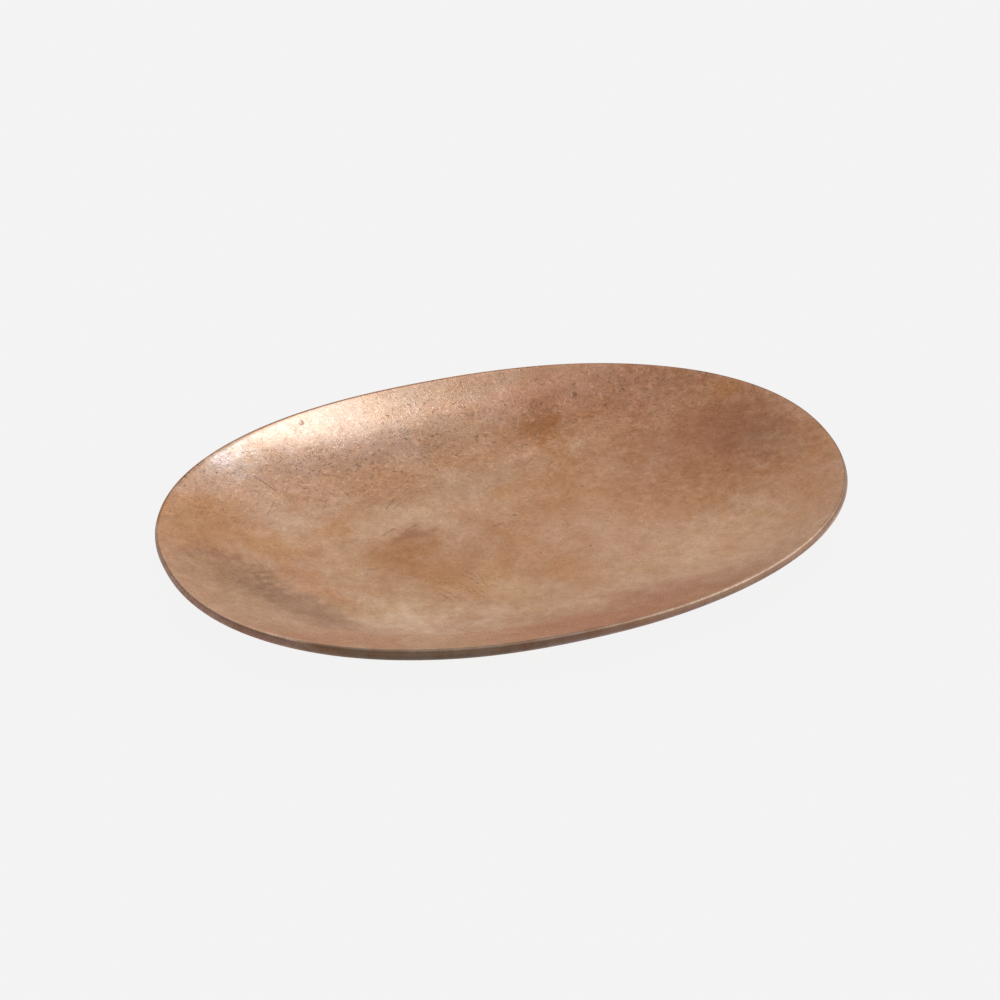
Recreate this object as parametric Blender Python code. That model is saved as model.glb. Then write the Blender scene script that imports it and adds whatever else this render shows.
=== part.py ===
"""Shallow oval dish raised from one thick copper plate.

Metres, +Z up. The origin is on the surface that the dish stands on, under its middle.
+X runs along the dish's length and +Y along its width. The plate has the same
thickness everywhere, so the underside repeats the inside: a flat base and a curved wall.
"""
import math

import bmesh
import bpy

# Driving dimensions. Length and width are taken between the rim's upper corners.
LENGTH = 0.210
WIDTH = 0.145
DEPTH = 0.011
PLATE = 0.0026

# The rim and the floor are superellipses: a power of 2 is a true ellipse.
RIM_POWER = 2.18
FLOOR_LENGTH = 0.074
FLOOR_WIDTH = 0.066
FLOOR_POWER = 2.2

# Hand shaping: the +X end is a little narrower than the other, and the rim is a
# little higher at the two ends than at the two sides.
TAPER = 0.015
RIM_SADDLE = 0.00055

# Rounding of the plate's cut edge, and how finely the dish is cut into faces.
EDGE_ROUND = 0.0007
EDGE_STEPS = 3
SHARP_CORNER = math.radians(60)
SMOOTH_BELOW = math.radians(30)
STEPS_AROUND = 96
STEPS_UP_WALL = 14

COPPER_COLOUR = (0.42, 0.235, 0.145, 1.0)
COPPER_ROUGHNESS = 0.42


def clear_scene():
    """Remove the objects that the new file opens with."""
    for item in list(bpy.data.objects):
        bpy.data.objects.remove(item, do_unlink=True)


def superellipse(length, width, power, turn):
    """Point of the dish's outline at the angle turn: a superellipse, slightly tapered."""
    along = math.cos(turn)
    across = math.sin(turn)
    x = math.copysign(abs(along) ** (2 / power), along) * length / 2
    y = math.copysign(abs(across) ** (2 / power), across) * width / 2
    return x, y * (1 - TAPER * x / (LENGTH / 2))


def wall_rise(share):
    """Height up the wall, 0 to 1, at a share of the way from the floor to the rim.

    The wall leaves the floor level and steepens evenly all the way up.
    """
    return share * share


def inside_ring(share):
    """Points of one ring of the inside, from the floor's edge (0) to the rim (1)."""
    points = []
    for step in range(STEPS_AROUND):
        turn = 2 * math.pi * step / STEPS_AROUND
        floor_x, floor_y = superellipse(FLOOR_LENGTH, FLOOR_WIDTH, FLOOR_POWER, turn)
        rim_x, rim_y = superellipse(LENGTH, WIDTH, RIM_POWER, turn)
        x = floor_x + (rim_x - floor_x) * share
        y = floor_y + (rim_y - floor_y) * share
        rim_height = DEPTH + RIM_SADDLE * math.cos(2 * math.atan2(rim_y, rim_x))
        points.append((x, y, PLATE + rim_height * wall_rise(share)))
    return points


def inside_mesh():
    """The dish's inside as an open sheet that faces up: a flat floor and a ringed wall."""
    sheet = bmesh.new()
    rings = []
    for step in range(STEPS_UP_WALL + 1):
        points = inside_ring(step / STEPS_UP_WALL)
        rings.append([sheet.verts.new(point) for point in points])
    sheet.faces.new(rings[0])
    for lower, upper in zip(rings, rings[1:]):
        for step in range(STEPS_AROUND):
            after = (step + 1) % STEPS_AROUND
            sheet.faces.new((lower[step], upper[step], upper[after], lower[after]))
    mesh = bpy.data.meshes.new("tray_body")
    sheet.to_mesh(mesh)
    sheet.free()
    return mesh


def copper():
    """Worn, dull copper."""
    material = bpy.data.materials.new("copper")
    material.use_nodes = True
    shader = material.node_tree.nodes["Principled BSDF"]
    shader.inputs["Base Color"].default_value = COPPER_COLOUR
    shader.inputs["Metallic"].default_value = 1.0
    shader.inputs["Roughness"].default_value = COPPER_ROUGHNESS
    return material


def tray_body():
    """The whole dish: the inside sheet thickened downwards, with its edge rounded."""
    mesh = inside_mesh()
    mesh.materials.append(copper())
    mesh.shade_smooth()
    mesh.set_sharp_from_angle(angle=SMOOTH_BELOW)
    dish = bpy.data.objects.new("tray_body", mesh)
    bpy.context.scene.collection.objects.link(dish)

    plate = dish.modifiers.new("plate", "SOLIDIFY")
    plate.thickness = PLATE
    plate.offset = -1.0
    plate.use_even_offset = True
    plate.use_quality_normals = True

    edge = dish.modifiers.new("edge", "BEVEL")
    edge.width = EDGE_ROUND
    edge.segments = EDGE_STEPS
    edge.limit_method = "ANGLE"
    edge.angle_limit = SHARP_CORNER
    return dish


clear_scene()
tray_body()
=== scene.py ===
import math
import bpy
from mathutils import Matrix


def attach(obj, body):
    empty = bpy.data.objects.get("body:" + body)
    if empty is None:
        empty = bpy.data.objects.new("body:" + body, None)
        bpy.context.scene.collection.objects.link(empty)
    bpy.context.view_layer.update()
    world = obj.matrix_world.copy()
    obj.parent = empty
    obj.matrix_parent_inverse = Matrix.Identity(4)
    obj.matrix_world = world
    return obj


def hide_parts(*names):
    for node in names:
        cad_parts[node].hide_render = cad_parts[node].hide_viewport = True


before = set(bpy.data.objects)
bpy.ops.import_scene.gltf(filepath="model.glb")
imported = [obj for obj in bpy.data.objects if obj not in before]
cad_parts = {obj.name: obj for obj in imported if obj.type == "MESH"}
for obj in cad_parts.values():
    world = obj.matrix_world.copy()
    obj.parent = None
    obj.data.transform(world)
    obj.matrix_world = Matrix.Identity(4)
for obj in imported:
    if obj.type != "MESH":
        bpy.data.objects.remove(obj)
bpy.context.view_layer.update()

# The looks of the oval copper tray: one thick plate with a worn, blotchy brown patina.
# Metres, in the tray's own frame: +X along its length, +Y along its width, +Z up, and
# the underside on z = 0. Places on the tray's face are given in millimetres.

from types import SimpleNamespace

import bmesh
import bpy
from mathutils import Vector, noise

MILLIMETRES = 1000.0

# The tray's driving dimensions, as the CAD part has them.
LENGTH = 0.210
WIDTH = 0.145
DEPTH = 0.011
PLATE = 0.0026
RIM_POWER = 2.18
FLOOR_LENGTH = 0.074
FLOOR_WIDTH = 0.066
FLOOR_POWER = 2.2
TAPER = 0.015
RIM_SADDLE = 0.00055

# The cut edge. Its roundings, and the share by which the upper one is smaller at the tips.
UPPER_ROUND = 0.0010
LOWER_ROUND = 0.0006
TIP_SHARPER = 0.5
# It is thinner than the plate's floor nearly all round, but thicker in one stretch of the
# near side: by how much, and where that stretch's middle is.
EDGE_THINNER = 0.0002
NEAR_THICKER = 0.0007
NEAR_MIDDLE = math.radians(-115.0)
# How short the thick stretch and the sharper tips are: a power of the cosine.
STRETCH_POWER = 6

# A reach says how far out a place is: 0 in the middle, and these at the floor's edge and rim.
FLOOR_REACH = 1.0
RIM_REACH = 2.0
# From here out to the rim, the edge's thickness lifts the inside, and the waver calms down.
LIFT_START = 1.4
CALM_START = 1.6
# A drop says how far round the edge a point is: 0 inside, 1 at the edge's end, this below.
UNDERSIDE_DROP = 1.2

# How finely the tray is cut into faces.
STEPS_AROUND = 384
FLOOR_RINGS = 16
WALL_RINGS = 48
CORNER_STEPS = 6
EDGE_RINGS = 3

# Hand forming: how far the plate wavers, over what distance, and how much of it is left at
# the rim.
WAVER_HEIGHT = 0.00016
WAVER_LENGTH = 0.030
RIPPLE_HEIGHT = 0.00004
RIPPLE_LENGTH = 0.011
RIM_WAVER = 0.4

# Where the inside and the rest lie in the texture square: left, bottom and scale. A face
# whose normal rises less than STEEP counts as the rest.
INSIDE_MAP = (0.01, 0.315, 0.97)
REST_MAP = (0.02, 0.01, 0.40)
MAP_MARGIN = 0.02
STEEP = 0.45

# The camera looks at the middle of the rim's plane from this side, and slightly beside it.
CAMERA_AZIMUTH = math.radians(-20.4)
CAMERA_ELEVATION = math.radians(33.0)
CAMERA_DISTANCE = 1.193
CAMERA_LENS = 144.0
CAMERA_SENSOR = 36.0
AIM_RIGHT = -0.00155
AIM_UP = -0.0009
LIGHT_DISTANCE = 1.5

# The floor's glow in the open and under the tray, and the shaded ellipse's half sizes.
FLOOR_GLOW = 0.88
SHADE_GLOW = 0.10
SHADE_LENGTH = 0.094
SHADE_WIDTH = 0.054
SHADE_START = 0.72
GROUND_REACH = 6.0
GROUND_DROP = 0.0002

# The studio's glow from front to back, and its share from left to right, each over a band
# of the direction.
BACK_BAND = (-0.9, 0.6)
BACK_GLOW = (0.20, 0.66)
SIDE_BAND = (-0.7, 0.5)
SIDE_GLOW = (0.72, 1.05)


# ---------------------------------------------------------------- the tray's shape

def superellipse(length, width, power, turn):
    """Point of the tray's outline at the angle turn: a superellipse, slightly tapered."""
    along = math.cos(turn)
    across = math.sin(turn)
    x = math.copysign(abs(along) ** (2 / power), along) * length / 2
    y = math.copysign(abs(across) ** (2 / power), across) * width / 2
    return x, y * (1 - TAPER * x / (LENGTH / 2))


def inside_point(turn, reach):
    """Point of the inside, at an angle and a reach. The wall rises as a parabola."""
    floor_x, floor_y = superellipse(FLOOR_LENGTH, FLOOR_WIDTH, FLOOR_POWER, turn)
    if reach <= FLOOR_REACH:
        return Vector((floor_x * reach, floor_y * reach, PLATE))
    rim_x, rim_y = superellipse(LENGTH, WIDTH, RIM_POWER, turn)
    share = reach - FLOOR_REACH
    x = floor_x + (rim_x - floor_x) * share
    y = floor_y + (rim_y - floor_y) * share
    rim_height = DEPTH + RIM_SADDLE * math.cos(2 * math.atan2(rim_y, rim_x))
    return Vector((x, y, PLATE + rim_height * share ** 2))


def inside_frame(turn, reach):
    """Point, upward normal and outward direction along the plate, at one place inside."""
    small = 1e-4
    here = inside_point(turn, reach)
    around = inside_point(turn + small, reach) - inside_point(turn - small, reach)
    outward = inside_point(turn, reach + small) - inside_point(turn, reach - small)
    normal = outward.cross(around).normalized()
    return here, normal, around.cross(normal).normalized()


def waver(point):
    """Small rise or fall of the hand-formed plate at a point."""
    slow = noise.noise(Vector((point.x, point.y, 0)) / WAVER_LENGTH)
    quick = noise.noise(Vector((point.x + 1, point.y, 0)) / RIPPLE_LENGTH)
    return slow * WAVER_HEIGHT + quick * RIPPLE_HEIGHT


def ease(low, high, value):
    """Smooth step from 0 at low to 1 at high."""
    t = min(max((value - low) / (high - low), 0.0), 1.0)
    return t * t * (3 - 2 * t)


def edge_extra(turn):
    """How much thicker the edge is than the plate's floor at an angle."""
    near = max(math.cos(turn - NEAR_MIDDLE), 0.0) ** STRETCH_POWER
    return NEAR_THICKER * near - EDGE_THINNER


def edge_round(turn):
    """Radius of the upper rounding at an angle."""
    return UPPER_ROUND * (1 - TIP_SHARPER * abs(math.cos(turn)) ** STRETCH_POWER)


def plate_cut(turn):
    """Points inside and on the underside at an angle, from the middle to the rounded edge."""
    extra = edge_extra(turn)
    back = 0.1
    last = inside_point(turn, RIM_REACH) - inside_point(turn, RIM_REACH - back)
    last_reach = RIM_REACH - edge_round(turn) / (last.length / back)
    wall = last_reach - FLOOR_REACH
    reaches = [step / FLOOR_RINGS for step in range(1, FLOOR_RINGS)]
    reaches += [FLOOR_REACH + wall * step / WALL_RINGS for step in range(WALL_RINGS + 1)]

    inside = []
    under = []
    for reach in reaches:
        here, up, _ = inside_frame(turn, reach)
        calm = 1 - (1 - RIM_WAVER) * ease(CALM_START, RIM_REACH, reach)
        shift = waver(here) * calm + extra / 2 * ease(LIFT_START, RIM_REACH, reach)
        inside.append(here + Vector((0, 0, shift)))
        below = here - up * (PLATE + extra * ease(FLOOR_REACH, RIM_REACH, reach))
        under.append(below + Vector((0, 0, shift * ease(FLOOR_REACH, LIFT_START, reach))))
    return inside, under


def edge_cut(turn):
    """Points over the edge at an angle: the upper rounding, the flat, the lower rounding."""
    rim, normal, outward = inside_frame(turn, RIM_REACH)
    extra = edge_extra(turn)
    upper_round = edge_round(turn)
    lift = Vector((0, 0, waver(rim) * RIM_WAVER + extra / 2))
    upper = rim - (outward + normal) * upper_round + lift
    lower = rim - normal * (PLATE + extra - LOWER_ROUND) - outward * LOWER_ROUND + lift
    edge = []
    for step in range(1, CORNER_STEPS + 1):
        tilt = math.pi / 2 * (1 - step / CORNER_STEPS)
        edge.append(upper + (outward * math.cos(tilt) + normal * math.sin(tilt)) * upper_round)
    start = edge[-1]
    end = lower + outward * LOWER_ROUND
    edge += [start.lerp(end, step / EDGE_RINGS) for step in range(1, EDGE_RINGS)]
    for step in range(CORNER_STEPS):
        tilt = math.pi / 2 * step / CORNER_STEPS
        edge.append(lower + (outward * math.cos(tilt) - normal * math.sin(tilt)) * LOWER_ROUND)
    return edge


def tray_mesh():
    """The whole tray as one closed mesh, whose points know their drop."""
    body = bmesh.new()
    drop_layer = body.verts.layers.float.new("drop")
    rings = None
    for step in range(STEPS_AROUND):
        turn = 2 * math.pi * step / STEPS_AROUND
        inside, under = plate_cut(turn)
        edge = edge_cut(turn)
        drops = [0.0] * len(inside)
        drops += [(place + 1) / len(edge) for place in range(len(edge))]
        drops += [UNDERSIDE_DROP] * len(under)
        rings = rings or [[] for _ in drops]
        for ring, point, drop in zip(rings, inside + edge + under[::-1], drops):
            corner = body.verts.new(point)
            corner[drop_layer] = drop
            ring.append(corner)
    top = body.verts.new((0, 0, PLATE + waver(Vector((0, 0, 0)))))
    bottom = body.verts.new((0, 0, 0))
    bottom[drop_layer] = UNDERSIDE_DROP
    for step in range(STEPS_AROUND):
        after = (step + 1) % STEPS_AROUND
        body.faces.new((top, rings[0][step], rings[0][after]))
        for inner, outer in zip(rings, rings[1:]):
            body.faces.new((inner[step], outer[step], outer[after], inner[after]))
        body.faces.new((rings[-1][step], bottom, rings[-1][after]))
    mesh = bpy.data.meshes.new("tray")
    body.to_mesh(mesh)
    body.free()
    mesh.shade_smooth()
    return mesh


def bake_map(mesh):
    """Lays the inside flat over most of the texture square, the underside and edge below it."""
    layer = mesh.uv_layers.new(name="OFBake")
    lowest = Vector((-LENGTH / 2, -WIDTH / 2)) * (1 + MAP_MARGIN)
    size = LENGTH * (1 + 2 * MAP_MARGIN)
    for face in mesh.polygons:
        left, bottom, scale = REST_MAP if face.normal.z < STEEP else INSIDE_MAP
        for loop in face.loop_indices:
            point = mesh.vertices[mesh.loops[loop].vertex_index].co
            across = (point.x - lowest.x) / size
            up = (point.y - lowest.y) / size
            layer.data[loop].uv = (left + across * scale, bottom + up * scale)


# ---------------------------------------------------------------- node helpers

class Nodes:
    """Short calls for the shader nodes that the materials and the world are made of."""

    def __init__(self, tree):
        self.tree = tree

    def add(self, kind, inputs=None, **settings):
        node = self.tree.nodes.new("ShaderNode" + kind)
        for name, value in settings.items():
            setattr(node, name, value)
        for key, value in (inputs or {}).items():
            self.feed(node.inputs[key], value)
        return node

    def feed(self, socket, value):
        """Links a socket, or sets a number, a vector or a colour."""
        if isinstance(value, bpy.types.NodeSocket):
            self.tree.links.new(value, socket)
        elif isinstance(value, (tuple, list)) and len(value) == 3 and socket.type == "RGBA":
            socket.default_value = (*value, 1.0)
        else:
            socket.default_value = value

    def math(self, operation, first, second):
        return self.add("Math", {0: first, 1: second}, operation=operation).outputs[0]

    def plus(self, first, second):
        return self.math("ADD", first, second)

    def less(self, first, second):
        return self.math("SUBTRACT", first, second)

    def times(self, first, second):
        return self.math("MULTIPLY", first, second)

    def vector(self, operation, first, second=(0.0, 0.0, 0.0)):
        node = self.add("VectorMath", {0: first, 1: second}, operation=operation)
        return node.outputs["Value" if operation in ("LENGTH", "DOT_PRODUCT") else "Vector"]

    def scaled(self, vector, factor):
        node = self.add("VectorMath", {0: vector, "Scale": factor}, operation="SCALE")
        return node.outputs["Vector"]

    def seen_from(self, place, x, y, angle):
        """Place as seen from a point of the face, with +X turned to the angle (radians)."""
        moved = self.vector("SUBTRACT", place, (x, y, 0.0))
        node = self.add("VectorRotate", {"Vector": moved, "Angle": -angle},
                        rotation_type="Z_AXIS")
        return node.outputs[0]

    def flat_distance(self, place, half_length=1.0, half_width=1.0):
        """Distance from the middle, height left out: 1 on the ellipse of these half sizes."""
        shrunk = self.vector("MULTIPLY", place, (1 / half_length, 1 / half_width, 0.0))
        return self.vector("LENGTH", shrunk)

    def noise(self, vector, size, detail=2.0, roughness=0.5, distortion=0.0, output="Fac"):
        """Noise of about 0.5, whose features are size across in the vector's unit."""
        node = self.add("TexNoise", {"Vector": vector, "Scale": 1.0 / size, "Detail": detail,
                                     "Roughness": roughness, "Distortion": distortion})
        return node.outputs[output]

    def ramp(self, value, low, high, to_low=0.0, to_high=1.0, smooth=True):
        node = self.add("MapRange", {"Value": value, "From Min": low, "From Max": high,
                                     "To Min": to_low, "To Max": to_high})
        node.interpolation_type = "SMOOTHSTEP" if smooth else "LINEAR"
        return node.outputs["Result"]

    def mix(self, share, first, second, blend="MIX"):
        node = self.add("Mix", data_type="RGBA", blend_type=blend)
        self.feed(node.inputs[0], share)
        self.feed(node.inputs[6], first)
        self.feed(node.inputs[7], second)
        return node.outputs[2]

    def tinted(self, colour, tint):
        """Colour multiplied by a tint."""
        return self.mix(1.0, colour, tint, "MULTIPLY")


# ---------------------------------------------------------------- the copper

# Patina patches on the inside, some of them painted light: pale cool patches that are painted
# highlight along the far left of the rim, a cool band of painted reflection below it, and painted
# reflection on the near wall. Each: name, middle x, y, half length, half width (mm), angle
# (degrees), what the copper's red, green and blue are multiplied by, and how soft the border is.
PATCHES = [
    ("left_ochre", -87, 23, 19, 12, 65, (0.91, 0.82, 0.68), 0.8),
    # Painted highlight: pale cool patch at the left end of the rim's gleam.
    ("left_far_pale", -78, 46, 13, 7, 42, (1.06, 1.16, 1.34), 0.9),
    ("left_low_brown", -88, -16, 13, 25, 10, (0.93, 0.93, 0.88), 0.9),
    ("left_ochre_low", -70, 12, 14, 7, -40, (0.99, 0.93, 0.80), 0.9),
    ("left_rust_band", -62, -12, 18, 5, -65, (1.00, 0.91, 0.82), 0.9),
    ("smudge_head", -86, -3, 16, 11, -45, (0.80, 0.77, 0.75), 0.8),
    ("smudge_tail", -72, -23, 23, 8, -60, (0.72, 0.68, 0.65), 0.6),
    ("smudge_tip", -93, 9, 9, 4, -20, (0.90, 0.88, 0.93), 0.7),
    ("heart_ochre", -35, -2, 15, 11, 25, (0.86, 0.75, 0.61), 0.6),
    ("heart_tail", -25, -22, 13, 8, -50, (0.98, 0.90, 0.77), 0.9),
    ("dark_fleck", -26, 6, 6, 3, 0, (0.78, 0.71, 0.70), 0.9),
    ("curl_ochre", -11, -17, 7, 7, 0, (0.96, 0.89, 0.76), 0.9),
    ("right_middle_ochre", 49, -6, 17, 8, -10, (0.95, 0.87, 0.77), 0.9),
    ("far_middle_ochre", 32, 25, 11, 7, 0, (0.94, 0.87, 0.79), 0.9),
    ("brown_above", -24, 36, 11, 8, -20, (0.97, 0.91, 0.84), 0.9),
    ("brown_left_of_heart", -50, 18, 10, 5, 20, (0.98, 0.92, 0.84), 0.9),
    ("centre_ochre", 3, -14, 21, 9, -70, (0.95, 0.87, 0.77), 0.8),
    ("pale_low_right", 18, -35, 13, 8, 0, (1.05, 1.10, 1.13), 0.9),
    ("centre_brown", 7, 19, 5, 5, 0, (0.94, 0.88, 0.80), 0.8),
    ("mid_ochre", 24, 11, 20, 13, -20, (0.96, 0.90, 0.80), 0.9),
    ("rust_core", 30, 47, 9, 6.5, 70, (0.78, 0.66, 0.52), 0.9),
    ("rust_spread", 30, 48, 16, 10, 20, (0.91, 0.82, 0.74), 0.9),
    ("rust_streak", 29, 33, 10, 3, -75, (0.94, 0.86, 0.74), 0.9),
    ("far_brown", 44, 57, 42, 11, -12, (0.95, 0.82, 0.80), 0.9),
    ("right_brown", 73, 22, 32, 28, 10, (0.80, 0.69, 0.64), 0.8),
    ("right_ochre", 60, 5, 20, 9, 0, (0.95, 0.88, 0.80), 0.9),
    ("far_rim_pale", 14, 66, 24, 4, -3, (1.02, 1.12, 1.18), 0.9),
    ("far_right_brown", 52, 43, 14, 6, -15, (0.93, 0.86, 0.83), 0.9),
    ("right_violet", 86, 14, 17, 13, -60, (0.82, 0.79, 0.82), 0.9),
    ("right_rim_brown", 88, -24, 9, 15, 0, (0.98, 0.91, 0.85), 0.9),
    # Painted highlight: pale cool patch where the gleam ends.
    ("gleam_end_pale", -69, 53, 11, 7, 35, (1.17, 1.30, 1.40), 0.9),
    ("right_ochre_low", 72, -6, 24, 8, 5, (0.94, 0.89, 0.80), 0.9),
    # Painted reflection: the far wall's red copper mirrored in the near wall.
    ("near_red", 16, -55, 40, 7, 6, (0.97, 0.91, 0.87), 0.9),
    # Painted reflection: cool bluish light on the left part of the near wall.
    ("near_pale", -47, -62, 38, 13, -8, (1.14, 1.40, 1.54), 0.9),
    ("near_rim_pale", 32, -65, 14, 4, 8, (1.05, 1.18, 1.18), 0.9),
    ("near_red_dark", 28, -52, 15, 6, 0, (0.92, 0.86, 0.88), 0.9),
    # Painted reflection: cool bluish light on the near wall, left of the middle.
    ("pale_near_left", -44, -46, 30, 14, -12, (1.13, 1.22, 1.32), 0.9),
    # Painted reflection: cool band below the gleam, where the wall mirrors cooler light.
    ("violet_band", -36, 49, 46, 9, 9, (0.96, 0.97, 1.06), 0.9),
    ("pale_far_left", -62, 26, 13, 10, 10, (1.05, 1.12, 1.22), 0.9),
    ("pale_left", -50, -6, 9, 16, 0, (1.08, 1.14, 1.16), 0.9),
    ("pale_across", -32, 15, 44, 8, 2, (1.12, 1.18, 1.20), 0.9),
    ("pale_low_left", -46, -31, 18, 12, -10, (1.12, 1.24, 1.27), 0.9),
    ("pale_low_middle", -11, -30, 8, 12, 10, (1.13, 1.24, 1.28), 0.9),
    ("pale_centre", -2, 27, 24, 10, 5, (1.01, 1.06, 1.10), 0.9),
    ("pale_right", 56, -34, 28, 15, 8, (1.17, 1.24, 1.27), 0.9),
    ("pale_swirl", -14, -43, 24, 3.5, -14, (1.07, 1.10, 1.12), 0.9),
    ("pale_near", 8, -45, 12, 5, 0, (1.05, 1.08, 1.10), 0.9),
    ("rim_ochre_right", 99, -3, 4, 14, 0, (0.97, 0.89, 0.83), 0.9),
    ("rim_ochre_far", 87, 37, 6, 4, -40, (1.05, 0.98, 0.84), 0.9),
]

# Dark pits in the surface: x, y and radius (mm).
PITS = [
    (-43.2, 64.3, 0.9),
    (43.5, 55.0, 0.9),
    (20.5, -17.8, 0.5),
    (5.0, 5.5, 0.6),
    (30.0, 13.5, 0.5),
]

# Single scratches: start x, y, end x, y and half width (mm).
SCRATCHES = [
    (-64.5, 45.0, -60.0, 38.0, 0.45),
    (-30.0, 22.5, -26.0, 26.5, 0.40),
    (-28.0, 21.5, -25.0, 24.0, 0.35),
    (-36.0, 8.5, -31.5, 11.0, 0.40),
    (-28.5, 9.0, -24.5, 11.0, 0.40),
    (-46.0, -7.0, -43.0, -7.8, 0.35),
    (-3.0, 2.2, 0.5, 2.6, 0.35),
    (-66.0, 27.0, -62.0, 33.0, 0.30),
    (17.0, 30.0, 21.0, 33.0, 0.30),
]

COPPER = (0.702, 0.394, 0.237)
# Noise that bends the patches and frays their borders: size (mm) and how far it reaches.
BEND_SIZE = 14.0
BEND_REACH = 14.0
FRAY_SIZE = 3.5
FRAY_REACH = 1.5
# A patch fades by its softness inside its border, and by this share of it outside.
FADE_OUTSIDE = 0.6

# Broad clouds and small mottles: the tints they swing between, over this band of the noise.
BLOTCH_BAND = (0.36, 0.64)
CLOUD_TINTS = ((0.95, 0.90, 0.82), (1.04, 1.07, 1.10))
MOTTLE_TINTS = ((0.93, 0.90, 0.87), (1.05, 1.07, 1.09))
GRAIN_BAND = (0.30, 0.70)
GRAIN_TONE = (0.93, 1.06)

# Thin curved scuffs: how far they are moved in the noise (mm), so that no two sets are the
# same, size (mm), how many level lines there are, and how wide each is.
RAISED_HAIRS = [(11.0, 3.0, 3.4, 0.11), (47.0, 2.1, 3.0, 0.12)]
SUNK_HAIRS = [(83.0, 2.5, 3.2, 0.12), (131.0, 1.8, 2.8, 0.13)]
HAIR_WAY = (1.0, 0.7, 0.3)
# The gaps that break the scuffs up: their size in sizes of the scuffs, and their band.
GAP_SIZE = 1.6
GAP_BAND = (0.36, 0.48)

# How far scuffs lighten or darken the colour. A band fades in from its first to its second
# place (mm along X or across Y).
FAR_WEAR_BAND = (10.0, 50.0)
FAR_WEAR = (0.0, 0.14)
NEAR_WEAR_BAND = (-60.0, 0.0)
NEAR_WEAR = (0.05, 0.13)
FAR_LEFT_ALONG = (20.0, -40.0)
FAR_LEFT_ACROSS = (20.0, 38.0)
FAR_LEFT_WEAR = 0.07

# Cleaner, cooler copper painted where the far left of the wall gleams, a painted highlight tint
# that evens out the highlight; how much of it shows, and the shares of the wear and of the relief
# that are left there.
GLEAM_COPPER = (0.68, 0.395, 0.25)
GLEAM_ALONG = (-5.0, -30.0)
GLEAM_ACROSS = (52.0, 60.0)
GLEAM_SHARE = 0.6
GLEAM_WEAR = 0.35
GLEAM_RELIEF = 0.5

# A duller band along the far side, which fades in and out again.
DULL_START = (38.0, 50.0)
DULL_END = (64.0, 54.0)
DULL_LEVEL = 0.88

# Short hooked tool marks: middle (mm), angle and half sizes of the group, and the bands of
# the wave's crests, of the group's border, and of the gaps, whose size follows (mm).
CURLS_MIDDLE = (-22.0, -26.0)
CURLS_ANGLE = math.radians(22)
CURLS_SIZES = (13.0, 10.0)
CURLS_CREST = (0.72, 1.0)
CURLS_BORDER = (0.5, 1.0)
CURLS_GAPS = (0.45, 0.6)
CURLS_GAP_SIZE = 2.2

# What shows in pits and cuts, and how strongly.
PIT_COLOUR = (0.16, 0.09, 0.06)
PIT_SHARE = 0.55
CUT_COLOUR = (0.20, 0.11, 0.07)
CUT_SHARE = 0.38
# How a pit fades from its bottom to its border (in radii), and a scratch (in half widths).
PIT_BOTTOM = 0.3
PIT_BORDER = 1.4
SCRATCH_BORDER = 1.6

# Relief in millimetres.
SCUFF_HEIGHT = 0.0040
GRAIN_HEIGHT = 0.007
SCRATCH_DEPTH = 0.040
PIT_DEPTH = 0.060

# What the cut edge multiplies the copper by, above and below its middle. The near side is dark,
# partly from the edge's oxide and partly painted shade for the shaded floor that it mirrors, and
# darker below its middle; the far side, of which only the upper rounding shows, is paler.
EDGE_TINT = (0.45, 0.42, 0.42)
LOW_EDGE_TINT = (0.31, 0.33, 0.38)
FAR_EDGE_TINT = (0.78, 0.70, 0.66)
FAR_EDGE_BAND = (-20.0, 10.0)
# The edge is paler and greyer toward the near right. Above its middle, the paler band is set where
# the upper rounding's highlight shows, so there it is partly painted highlight.
NEAR_RIGHT_EDGE_WAY = (0.75, -0.66, 0.0)
NEAR_RIGHT_EDGE_TINT = (0.78, 0.82, 0.88)
NEAR_RIGHT_EDGE_BAND = (38.0, 68.0)
NEAR_RIGHT_LOW_EDGE_TINT = (0.60, 0.68, 0.95)
NEAR_RIGHT_LOW_EDGE_BAND = (10.0, 70.0)
# At the right tip the upper edge is darker again, painted shade that dims its highlight, and the
# lower edge pale and bluish.
RIGHT_END_BAND = (74.0, 88.0)
RIGHT_END_SHADE = (0.72, 0.70, 0.68)
RIGHT_LOW_EDGE_TINT = (0.80, 1.02, 1.32)
# At the left tip the upper edge is bright, in chips. Its lower look begins higher up there,
# so that only a thin line along the top is bright.
LEFT_EDGE_WAY = (-0.95, -0.30, 0.0)
LEFT_EDGE_TINT = (1.20, 1.32, 1.48)
LEFT_EDGE_BAND = (87.0, 96.0)
LEFT_EDGE_RISE = 0.30
CHIP_SIZE = 0.7
CHIP_BAND = (0.35, 0.60)
CHIP_SHARE = (0.70, 1.0)
LEFT_LOW_EDGE_TINT = (0.55, 0.57, 0.74)
LEFT_LOW_EDGE_BAND = (76.0, 95.0)
# Drops: where the edge's look has set in, where upper turns to lower, and where the bottom
# rounding darkens.
EDGE_START = 0.06
EDGE_MIDDLE = (0.46, 0.66)
BOTTOM_BAND = (0.62, 1.0)
BOTTOM_SHADE = (0.68, 0.68, 0.68)

# How rough the copper is over a band of the mottle, what a scuff changes, and what the cut
# edge adds.
ROUGHNESS_BAND = (0.3, 0.7)
ROUGHNESS = (0.29, 0.24)
SCUFF_ROUGHNESS = 0.04
EDGE_ROUGHNESS = 0.26


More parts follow.
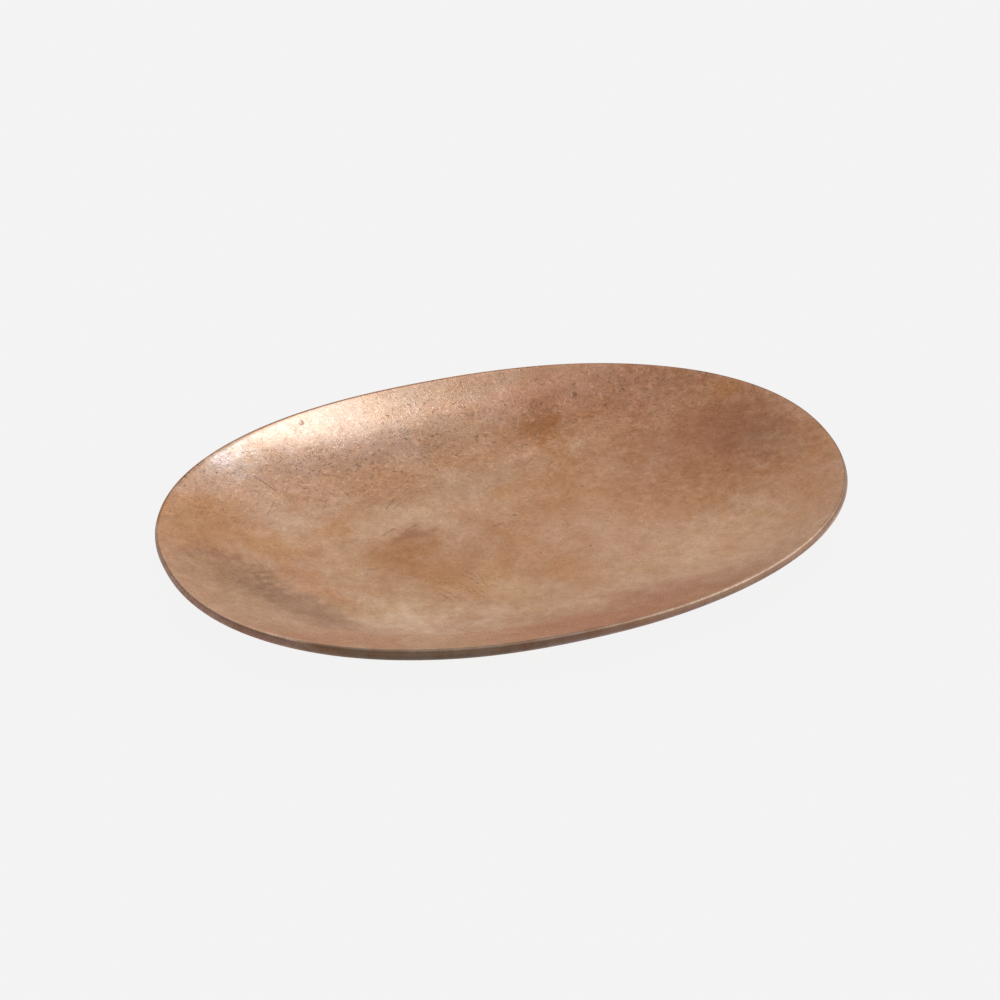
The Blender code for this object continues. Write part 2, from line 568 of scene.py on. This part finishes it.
def patina(nodes, place):
    """Copper colour with the patina's patches laid over it, some of them painted highlight and
    reflection.
    """
    bend = nodes.noise(place, BEND_SIZE, detail=3.0, roughness=0.6, output="Color")
    bend = nodes.vector("SUBTRACT", bend, (0.5, 0.5, 0.5))
    bent = nodes.vector("ADD", place, nodes.scaled(bend, BEND_REACH))
    fray = nodes.less(nodes.noise(place, FRAY_SIZE, detail=4.0, roughness=0.65), 0.5)
    fray = nodes.times(fray, FRAY_REACH)
    colour = COPPER
    for _, x, y, half_length, half_width, angle, tint, soft in PATCHES:
        turned = nodes.seen_from(bent, x, y, math.radians(angle))
        distance = nodes.plus(nodes.flat_distance(turned, half_length, half_width), fray)
        share = nodes.ramp(distance, 1 - soft, 1 + soft * FADE_OUTSIDE, 1.0, 0.0)
        colour = nodes.mix(share, colour, nodes.tinted(colour, tint))
    return colour


def hairs(nodes, place, offset, size, levels, width):
    """Thin curved scuffs: the level lines of a smooth noise, broken up by a coarser one."""
    moved = nodes.vector("ADD", place, tuple(offset * way for way in HAIR_WAY))
    field = nodes.noise(moved, size, detail=0.6, distortion=0.4)
    wave = nodes.math("PINGPONG", nodes.times(field, levels), 0.5)
    line = nodes.ramp(wave, 0.0, width, 1.0, 0.0)
    gaps = nodes.noise(moved, size * GAP_SIZE, detail=1.0)
    return nodes.times(line, nodes.ramp(gaps, *GAP_BAND))


def scratch_depth(nodes, place, start_x, start_y, end_x, end_y, half_width):
    """How deep a place lies in one straight scratch, 0 to 1."""
    along = math.hypot(end_x - start_x, end_y - start_y)
    angle = math.atan2(end_y - start_y, end_x - start_x)
    parts = nodes.add("SeparateXYZ", {0: nodes.seen_from(place, start_x, start_y, angle)})
    nearest = nodes.math("MINIMUM", nodes.math("MAXIMUM", parts.outputs["X"], 0.0), along)
    beyond = nodes.less(parts.outputs["X"], nearest)
    offset = nodes.add("CombineXYZ", {"X": beyond, "Y": parts.outputs["Y"]}).outputs[0]
    return nodes.ramp(nodes.vector("LENGTH", offset), 0.0, half_width * SCRATCH_BORDER, 1.0, 0.0)


def curls(nodes, place):
    """Short hooked tool marks, side by side, in one place left of the middle."""
    turned = nodes.seen_from(place, *CURLS_MIDDLE, CURLS_ANGLE)
    marks = nodes.add("TexWave", {"Vector": turned, "Scale": 0.19, "Distortion": 7.0,
                                  "Detail": 2.0, "Detail Scale": 1.2})
    lines = nodes.ramp(marks.outputs["Fac"], *CURLS_CREST)
    inside = nodes.ramp(nodes.flat_distance(turned, *CURLS_SIZES), *CURLS_BORDER, 1.0, 0.0)
    gaps = nodes.ramp(nodes.noise(place, CURLS_GAP_SIZE), *CURLS_GAPS)
    return nodes.times(lines, nodes.times(inside, gaps))


def face_fields(nodes):
    """What the looks depend on: the place in millimetres, the noises there, and the gleam."""
    metres = nodes.add("TexCoord").outputs["Object"]
    place = nodes.scaled(metres, MILLIMETRES)
    parts = nodes.add("SeparateXYZ", {0: place})
    along = parts.outputs["X"]
    across = parts.outputs["Y"]
    raised = nodes.plus(*[hairs(nodes, place, *hair) for hair in RAISED_HAIRS])
    sunk = nodes.plus(*[hairs(nodes, place, *hair) for hair in SUNK_HAIRS])
    return SimpleNamespace(
        place=place,
        along=along,
        across=across,
        scuffs=nodes.less(raised, sunk),
        grain=nodes.noise(place, size=0.8, detail=3.0, roughness=0.7),
        mottle=nodes.noise(place, size=5.0, detail=6.0, roughness=0.70),
        cloud=nodes.noise(place, size=17.0, detail=5.0, roughness=0.66, distortion=0.6),
        gleam=nodes.times(nodes.ramp(along, *GLEAM_ALONG), nodes.ramp(across, *GLEAM_ACROSS)),
    )


def wear(nodes, face):
    """How strongly the scuffs show in the colour, which is most on the far left."""
    far = nodes.ramp(face.across, *FAR_WEAR_BAND, *FAR_WEAR)
    near = nodes.ramp(face.across, *NEAR_WEAR_BAND, *NEAR_WEAR)
    far_left = nodes.times(nodes.ramp(face.along, *FAR_LEFT_ALONG),
                           nodes.ramp(face.across, *FAR_LEFT_ACROSS))
    worn = nodes.plus(nodes.plus(far, near), nodes.times(far_left, FAR_LEFT_WEAR))
    return nodes.times(worn, nodes.ramp(face.gleam, 0.0, 1.0, 1.0, GLEAM_WEAR))


def aged_colour(nodes, face):
    """Copper with its patina, the gleam's cleaner copper as a painted highlight tint, and the
    scuffs' light and dark.
    """
    colour = patina(nodes, face.place)
    for field, tints in ((face.cloud, CLOUD_TINTS), (face.mottle, MOTTLE_TINTS)):
        colour = nodes.tinted(colour, nodes.mix(nodes.ramp(field, *BLOTCH_BAND), *tints))
    # Painted highlight tint: cleaner, cooler copper where the far left of the wall gleams.
    colour = nodes.mix(nodes.times(face.gleam, GLEAM_SHARE), colour, GLEAM_COPPER)
    dulled = nodes.times(nodes.ramp(face.across, *DULL_START),
                         nodes.ramp(face.across, *DULL_END))
    level = nodes.ramp(dulled, 0.0, 1.0, 1.0, DULL_LEVEL)
    colour = nodes.tinted(colour, nodes.plus(nodes.times(face.scuffs, wear(nodes, face)), level))
    return nodes.tinted(colour, nodes.ramp(face.grain, *GRAIN_BAND, *GRAIN_TONE, smooth=False))


def marked(nodes, face, colour):
    """Colour and height in millimetres, with the scuffs, the grain, the pits and the cuts."""
    relief = nodes.ramp(face.gleam, 0.0, 1.0, SCUFF_HEIGHT, SCUFF_HEIGHT * GLEAM_RELIEF)
    height = nodes.times(face.scuffs, relief)
    height = nodes.plus(height, nodes.times(face.grain, GRAIN_HEIGHT))

    for x, y, radius in PITS:
        away = nodes.vector("SUBTRACT", face.place, (x, y, 0.0))
        bottom = PIT_BOTTOM * radius
        depth = nodes.ramp(nodes.flat_distance(away), bottom, PIT_BORDER * radius, 1.0, 0.0)
        colour = nodes.mix(nodes.times(depth, PIT_SHARE), colour, PIT_COLOUR)
        height = nodes.less(height, nodes.times(depth, PIT_DEPTH))

    cuts = 0.0
    for scratch in SCRATCHES:
        cuts = nodes.math("MAXIMUM", cuts, scratch_depth(nodes, face.place, *scratch))
    cuts = nodes.math("MAXIMUM", cuts, curls(nodes, face.place))
    colour = nodes.mix(nodes.times(cuts, CUT_SHARE), colour, CUT_COLOUR)
    return colour, nodes.less(height, nodes.times(cuts, SCRATCH_DEPTH))


def edge_tint(nodes, face, drop):
    """What the cut edge multiplies the colour by, all round the tray: its oxide, with painted
    shade on the near side and at the bottom.
    """
    near_right_way = nodes.vector("DOT_PRODUCT", face.place, NEAR_RIGHT_EDGE_WAY)
    left_way = nodes.vector("DOT_PRODUCT", face.place, LEFT_EDGE_WAY)
    left_end = nodes.ramp(left_way, *LEFT_EDGE_BAND)
    right_end = nodes.ramp(face.along, *RIGHT_END_BAND)

    # Near side: the dark tint is partly oxide and partly painted shade.
    upper = nodes.mix(nodes.ramp(face.across, *FAR_EDGE_BAND), EDGE_TINT, FAR_EDGE_TINT)
    # Near right: paler upper band where the rounding's highlight shows, partly painted highlight.
    upper = nodes.mix(nodes.ramp(near_right_way, *NEAR_RIGHT_EDGE_BAND), upper, NEAR_RIGHT_EDGE_TINT)
    # Painted shade at the right tip, dimming the upper rounding's highlight.
    upper = nodes.mix(right_end, upper, nodes.tinted(upper, RIGHT_END_SHADE))
    chips = nodes.ramp(nodes.noise(face.place, CHIP_SIZE), *CHIP_BAND, *CHIP_SHARE)
    upper = nodes.mix(nodes.times(left_end, chips), upper, LEFT_EDGE_TINT)

    # Below its middle the edge is darker still, partly painted shade toward the floor under the
    # tray.
    lower = nodes.ramp(near_right_way, *NEAR_RIGHT_LOW_EDGE_BAND)
    lower = nodes.mix(lower, LOW_EDGE_TINT, NEAR_RIGHT_LOW_EDGE_TINT)
    lower = nodes.mix(nodes.ramp(left_way, *LEFT_LOW_EDGE_BAND), lower, LEFT_LOW_EDGE_TINT)
    lower = nodes.mix(right_end, lower, RIGHT_LOW_EDGE_TINT)

    lowered = nodes.plus(drop, nodes.times(left_end, LEFT_EDGE_RISE))
    tint = nodes.mix(nodes.ramp(lowered, *EDGE_MIDDLE), upper, lower)
    return nodes.mix(nodes.ramp(drop, *BOTTOM_BAND), tint, nodes.tinted(tint, BOTTOM_SHADE))


def copper():
    """Worn copper plate: blotchy patina with some painted highlight and reflection, scuffs, pits,
    and a darker cut edge that is partly painted shade.
    """
    material = bpy.data.materials.new("worn_copper")
    material.use_nodes = True
    nodes = Nodes(material.node_tree)
    shader = material.node_tree.nodes["Principled BSDF"]
    face = face_fields(nodes)
    colour, height = marked(nodes, face, aged_colour(nodes, face))

    drop = nodes.add("Attribute", attribute_name="drop").outputs["Fac"]
    on_edge = nodes.times(nodes.ramp(drop, 0.0, EDGE_START),
                          nodes.ramp(drop, UNDERSIDE_DROP, 1.0))
    colour = nodes.mix(on_edge, colour, nodes.tinted(colour, edge_tint(nodes, face, drop)))

    roughness = nodes.ramp(face.mottle, *ROUGHNESS_BAND, *ROUGHNESS)
    scuffed = nodes.ramp(face.scuffs, -1.0, 1.0, SCUFF_ROUGHNESS, -SCUFF_ROUGHNESS)
    roughness = nodes.plus(roughness, scuffed)
    roughness = nodes.plus(roughness, nodes.times(on_edge, EDGE_ROUGHNESS))

    bump = nodes.add("Bump", {"Height": height, "Strength": 1.0, "Distance": 1 / MILLIMETRES})
    nodes.feed(shader.inputs["Base Color"], colour)
    nodes.feed(shader.inputs["Roughness"], roughness)
    nodes.feed(shader.inputs["Normal"], bump.outputs["Normal"])
    shader.inputs["Metallic"].default_value = 0.92
    return material


# ---------------------------------------------------------------- floor, light, camera

def toward(azimuth, elevation):
    """Unit vector: azimuth in degrees, 0 away from the camera and + to the right of it."""
    a = math.radians(azimuth)
    e = math.radians(elevation)
    right = Vector((math.cos(CAMERA_AZIMUTH), math.sin(CAMERA_AZIMUTH), 0))
    away = Vector((-math.sin(CAMERA_AZIMUTH), math.cos(CAMERA_AZIMUTH), 0))
    level = right * (math.sin(a) * math.cos(e)) + away * (math.cos(a) * math.cos(e))
    return level + Vector((0, 0, math.sin(e)))


def floor():
    """Plain pale floor that glows evenly, with soft shade under the tray."""
    material = bpy.data.materials.new("pale_floor")
    material.use_nodes = True
    nodes = Nodes(material.node_tree)
    shader = material.node_tree.nodes["Principled BSDF"]
    place = nodes.add("TexCoord").outputs["Object"]
    out = nodes.flat_distance(place, SHADE_LENGTH, SHADE_WIDTH)
    glow = nodes.ramp(out, SHADE_START, 1.0, SHADE_GLOW, FLOOR_GLOW)
    nodes.feed(shader.inputs["Emission Strength"], glow)
    shader.inputs["Emission Color"].default_value = (1.0, 1.0, 1.0, 1.0)
    shader.inputs["Base Color"].default_value = (0.02, 0.02, 0.02, 1.0)
    shader.inputs["Roughness"].default_value = 0.9
    shader.inputs["Specular IOR Level"].default_value = 0.0
    mesh = bpy.data.meshes.new("floor")
    ways = [(-1, -1), (1, -1), (1, 1), (-1, 1)]
    corners = [(x * GROUND_REACH, y * GROUND_REACH, 0) for x, y in ways]
    mesh.from_pydata(corners, [], [(0, 1, 2, 3)])
    mesh.materials.append(material)
    ground = bpy.data.objects.new("floor", mesh)
    ground.location.z = -GROUND_DROP
    bpy.context.scene.collection.objects.link(ground)


def lamp(name, kind, azimuth, elevation, colour, power):
    """Light that faces the tray from a direction."""
    light = bpy.data.lights.new(name, kind)
    light.color = colour
    light.energy = power
    holder = bpy.data.objects.new(name, light)
    direction = toward(azimuth, elevation)
    holder.location = direction * LIGHT_DISTANCE
    holder.rotation_mode = "QUATERNION"
    holder.rotation_quaternion = direction.to_track_quat("Z", "Y")
    bpy.context.scene.collection.objects.link(holder)
    return holder


def softbox():
    """Cool window-like light to the right and behind: the gleam on the far left of the wall."""
    box = lamp("softbox", "AREA", azimuth=60.5, elevation=52.5,
               colour=(0.46, 0.66, 0.91), power=12.3)
    box.data.shape = "RECTANGLE"
    box.data.size = 0.95
    box.data.size_y = 0.86
    box.visible_diffuse = False


def overhead():
    """Very wide light from straight above, which adds even light and no reflection."""
    sky = lamp("overhead", "SUN", azimuth=0, elevation=90, colour=(1.0, 1.0, 1.0), power=1.6)
    sky.data.angle = math.radians(150)
    sky.visible_glossy = False


def surroundings():
    """Soft grey studio: light walls behind and to the right, darker ones to the left and front."""
    world = bpy.data.worlds.new("studio")
    world.use_nodes = True
    nodes = Nodes(world.node_tree)
    background = world.node_tree.nodes["Background"]
    direction = nodes.add("TexCoord").outputs["Generated"]
    behind = nodes.vector("DOT_PRODUCT", direction, tuple(toward(0, 0)))
    right = nodes.vector("DOT_PRODUCT", direction, tuple(toward(90, 0)))
    glow = nodes.ramp(behind, *BACK_BAND, *BACK_GLOW)
    side = nodes.ramp(right, *SIDE_BAND, *SIDE_GLOW)
    nodes.feed(background.inputs["Strength"], nodes.times(glow, side))
    background.inputs["Color"].default_value = (1.0, 1.0, 1.0, 1.0)
    bpy.context.scene.world = world


def camera():
    """Long-lens camera at the photograph's viewing angle."""
    a, e = CAMERA_AZIMUTH, CAMERA_ELEVATION
    back = Vector((math.sin(a) * math.cos(e), -math.cos(a) * math.cos(e), math.sin(e)))
    lens = bpy.data.cameras.new("camera")
    lens.lens = CAMERA_LENS
    lens.sensor_width = CAMERA_SENSOR
    viewer = bpy.data.objects.new("camera", lens)
    turn = back.to_track_quat("Z", "Y")
    rim_middle = Vector((0, 0, PLATE + DEPTH))
    aim = rim_middle + turn @ Vector((AIM_RIGHT, AIM_UP, 0))
    viewer.location = aim + back * CAMERA_DISTANCE
    viewer.rotation_mode = "QUATERNION"
    viewer.rotation_quaternion = turn
    bpy.context.scene.collection.objects.link(viewer)
    bpy.context.scene.camera = viewer


# ---------------------------------------------------------------- put together

camera()
mesh = tray_mesh()
bake_map(mesh)
mesh.materials.append(copper())
tray = bpy.data.objects.new("tray", mesh)
bpy.context.scene.collection.objects.link(tray)
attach(tray, "root")
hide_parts("tray_body")

floor()
surroundings()
softbox()
overhead()

scene = bpy.context.scene
scene.view_settings.view_transform = "Standard"
scene.view_settings.look = "None"
